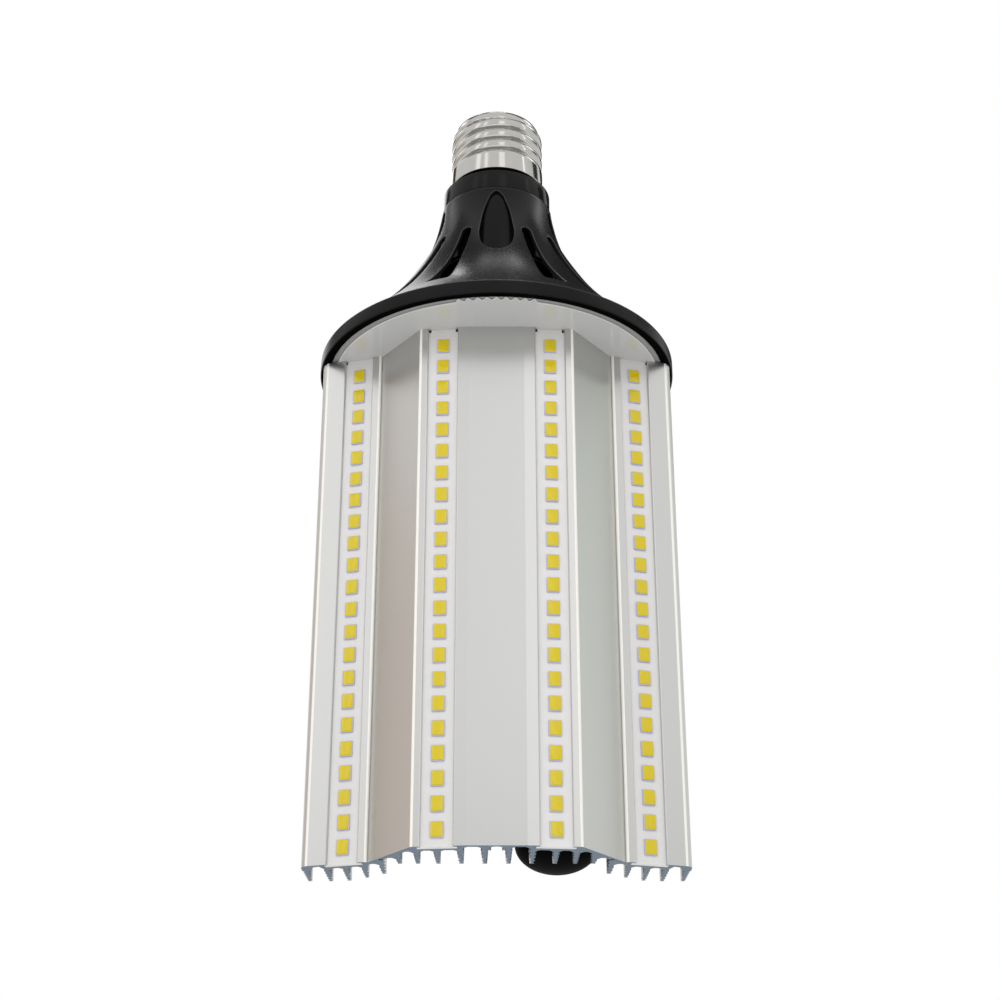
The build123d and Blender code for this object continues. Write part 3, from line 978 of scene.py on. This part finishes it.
def build_sink():
    """The extrusion with its long edges eased, wider on the lips at the front, with a painted highlight on
    the lip and fold edges and on the corner facets.
    """
    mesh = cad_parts["heat_sink"].data.copy()
    mesh.materials.clear()
    shape = bmesh.new()
    shape.from_mesh(mesh)
    bmesh.ops.remove_doubles(shape, verts=shape.verts, dist=WELD)
    bmesh.ops.dissolve_limit(shape, angle_limit=merge_angle, verts=shape.verts, edges=shape.edges)
    plain, highlit = range(2)

    def long_folds():
        for edge in shape.edges:
            upright = abs(edge.verts[0].co.z - edge.verts[1].co.z) > long_share * sink_top * MM
            if upright and len(edge.link_faces) == 2 and abs(edge.calc_face_angle_signed()) > fold_angle:
                yield edge

    def faces_front(edge):
        forward = any(face.normal.y < -front_tilt for face in edge.link_faces)
        return forward and edge.calc_face_angle_signed() > 0

    def lips():
        return [edge for edge in long_folds() if faces_front(edge)]

    def ease(edges, width, segments, slot):
        made = bmesh.ops.bevel(
            shape, geom=edges, offset=width * MM, segments=segments, profile=0.5,
            affect="EDGES", clamp_overlap=True,
        )
        for face in made["faces"]:
            face.material_index = slot

    def at(edge, reach):
        return abs(abs(edge.verts[0].co.x) / MM - reach) < reach_slack

    for face in shape.faces:
        face.material_index = plain
    for edge in list(long_folds()):
        flanks = all(abs(face.normal.x) > flank_tilt for face in edge.link_faces)
        if flanks and edge.calc_face_angle_signed() < 0:
            inward = sum((face.normal for face in edge.link_faces), Vector()).normalized()
            for vert in edge.verts:
                vert.co -= inward * notch_extra * MM
    shape.normal_update()
    ease([edge for edge in lips() if at(edge, lip_reach)], lip_edge_bevel, 5, highlit)
    ease([edge for edge in lips() if at(edge, fold_reach)], fold_bevel, 4, highlit)
    ease([edge for edge in lips() if edge.calc_face_angle() > edge_angle], lip_bevel, 3, plain)
    ease([edge for edge in long_folds() if edge.calc_face_angle() > edge_angle], fin_bevel, 1, plain)
    bmesh.ops.recalc_face_normals(shape, faces=shape.faces)
    for face in shape.faces:
        face.smooth = True
        # Front corner facets take the painted edge highlight
        at_corner = abs(face.calc_center_median().x) > corner_reach * MM
        if at_corner and face.normal.y < 0 and corner_tilt[0] < abs(face.normal.x) < corner_tilt[1]:
            face.material_index = highlit
    broad_area = broad_face * sink_top * MM ** 2
    for edge in shape.edges:
        bend = edge.calc_face_angle(pi)
        broad = any(face.calc_area() > broad_area for face in edge.link_faces)
        edge.smooth = bend < (flat_angle if broad else crease_angle)
    shape.to_mesh(mesh)
    shape.free()
    sink = new_object("eased_extrusion", mesh, "aluminium", "edge_highlight")
    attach(sink, "lamp")
    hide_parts("heat_sink")


def dress_nodes():
    """Materials for the CAD nodes that stay."""
    worn = {
        "inner_board_left": "board",
        "inner_board_right": "board",
        "outer_board_left": "board",
        "outer_board_right": "board",
        "driver_board": "circuit",
        "transformer": "ferrite",
        "choke": "ferrite",
        "input_capacitor": "film",
        "output_capacitor": "film",
        "rectifier": "chip",
        "fuse": "chip",
    }
    for node, finish_name in worn.items():
        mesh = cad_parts[node].data
        mesh.materials.clear()
        mesh.materials.append(finishes[finish_name])


def build_lamp():
    """Every piece of the lamp."""
    build_cap()
    build_neck()
    build_disc()
    build_sink()
    build_capsule()
    for row in tilts:
        for side, name in ((-1, "left"), (1, "right")):
            build_led_row(row, side, f"{row}_leds_{name}")
    dress_nodes()


def around(azimuth, elevation, distance):
    """A place about the lamp's middle, with the azimuth from the front and the elevation in degrees."""
    turn, rise = radians(azimuth), radians(elevation)
    return studio_middle + distance * Vector((sin(turn) * cos(rise), -cos(turn) * cos(rise), sin(rise)))


def aim(stand, place):
    """Put a light or card in the scene, turned to the lamp's middle."""
    stand.location = place
    stand.rotation_euler = (studio_middle - place).to_track_quat("-Z", "Y").to_euler()
    bpy.context.scene.collection.objects.link(stand)


def add_softbox(name, azimuth, elevation, width, height, level, glossy=True, distance=1.25):
    """Soft lamp that adds a level to what a mirror shows of the white surround."""
    data = bpy.data.lights.new(name, "AREA")
    data.shape = "RECTANGLE"
    data.size = width
    data.size_y = height
    data.energy = level * pi * width * height
    light = bpy.data.objects.new(name, data)
    light.visible_glossy = glossy
    aim(light, around(azimuth, elevation, distance))


def add_card(name, azimuth, elevation, width, height, shade, distance):
    """Studio card that only polished surfaces show."""
    mesh = bpy.data.meshes.new(name)
    x, y = width / 2, height / 2
    mesh.from_pydata([(-x, -y, 0), (x, -y, 0), (x, y, 0), (-x, y, 0)], [], [(0, 1, 2, 3)])
    material = bpy.data.materials.new(name)
    material.use_nodes = True
    shader = material.node_tree.nodes["Principled BSDF"]
    shader.inputs["Base Color"].default_value = (0, 0, 0, 1)
    shader.inputs["Specular IOR Level"].default_value = 0.0
    shader.inputs["Emission Color"].default_value = srgb(*shade)
    shader.inputs["Emission Strength"].default_value = 1.0
    mesh.materials.append(material)
    card = bpy.data.objects.new(name, mesh)
    card.visible_camera = False
    card.visible_diffuse = False
    card.visible_shadow = False
    aim(card, around(azimuth, elevation, distance))


def add_camera(scene):
    """Camera of the photograph."""
    data = bpy.data.cameras.new("photo_camera")
    data.lens = camera_lens
    data.sensor_width = camera_sensor
    data.shift_x = camera_shift
    data.clip_start = 0.01
    camera = bpy.data.objects.new("photo_camera", data)
    camera.location = camera_place
    camera.rotation_euler = (radians(90) + camera_rise, 0, 0)
    scene.collection.objects.link(camera)
    scene.camera = camera


def add_surround(scene):
    """World that is white to the camera and to metal, and dimmer as light."""
    world = bpy.data.worlds.new("white_studio")
    scene.world = world
    world.use_nodes = True
    nodes = world.node_tree.nodes
    links = world.node_tree.links
    path = nodes.new("ShaderNodeLightPath")
    seen = path.outputs["Is Camera Ray"]
    for ray in ("Is Glossy Ray", "Is Transmission Ray"):
        either = nodes.new("ShaderNodeMath")
        either.operation = "MAXIMUM"
        links.new(seen, either.inputs[0])
        links.new(path.outputs[ray], either.inputs[1])
        seen = either.outputs["Value"]
    strength = nodes.new("ShaderNodeMapRange")
    strength.inputs["To Min"].default_value = surround
    strength.inputs["To Max"].default_value = 1.0
    links.new(seen, strength.inputs["Value"])
    links.new(strength.outputs["Result"], nodes["Background"].inputs["Strength"])
    nodes["Background"].inputs["Color"].default_value = (1, 1, 1, 1)


def add_floor(scene):
    """Pale paper, lifted to white where metal shows it."""
    mesh = bpy.data.meshes.new("floor")
    corners = ((-1, -1), (1, -1), (1, 1), (-1, 1))
    mesh.from_pydata([(x * floor_half, y * floor_half, floor_level) for x, y in corners], [], [(0, 1, 2, 3)])
    paper = grained("floor_paper", srgb(236, 236, 235), srgb(243, 243, 242), (0.7, 0.85), 60, 1e-5)
    mirrored = paper.node_tree.nodes.new("ShaderNodeLightPath")
    lifted = paper.node_tree.nodes.new("ShaderNodeMath")
    lifted.operation = "MULTIPLY"
    lifted.inputs[1].default_value = floor_lift
    shader = paper.node_tree.nodes["Principled BSDF"]
    paper.node_tree.links.new(mirrored.outputs["Is Glossy Ray"], lifted.inputs[0])
    paper.node_tree.links.new(lifted.outputs["Value"], shader.inputs["Emission Strength"])
    shader.inputs["Emission Color"].default_value = (1, 1, 1, 1)
    mesh.materials.append(paper)
    floor = bpy.data.objects.new("floor", mesh)
    scene.collection.objects.link(floor)


def build_studio():
    """Camera, white surround, floor, soft lamps and cards."""
    scene = bpy.context.scene
    scene.view_settings.view_transform = "Standard"
    add_camera(scene)
    add_surround(scene)
    add_floor(scene)
    add_softbox("front_fill", *front_fill, glossy=False)
    for name, setting in softboxes.items():
        add_softbox(name, *setting)
    for setting in cards:
        add_card(*setting)


build_lamp()
build_studio()
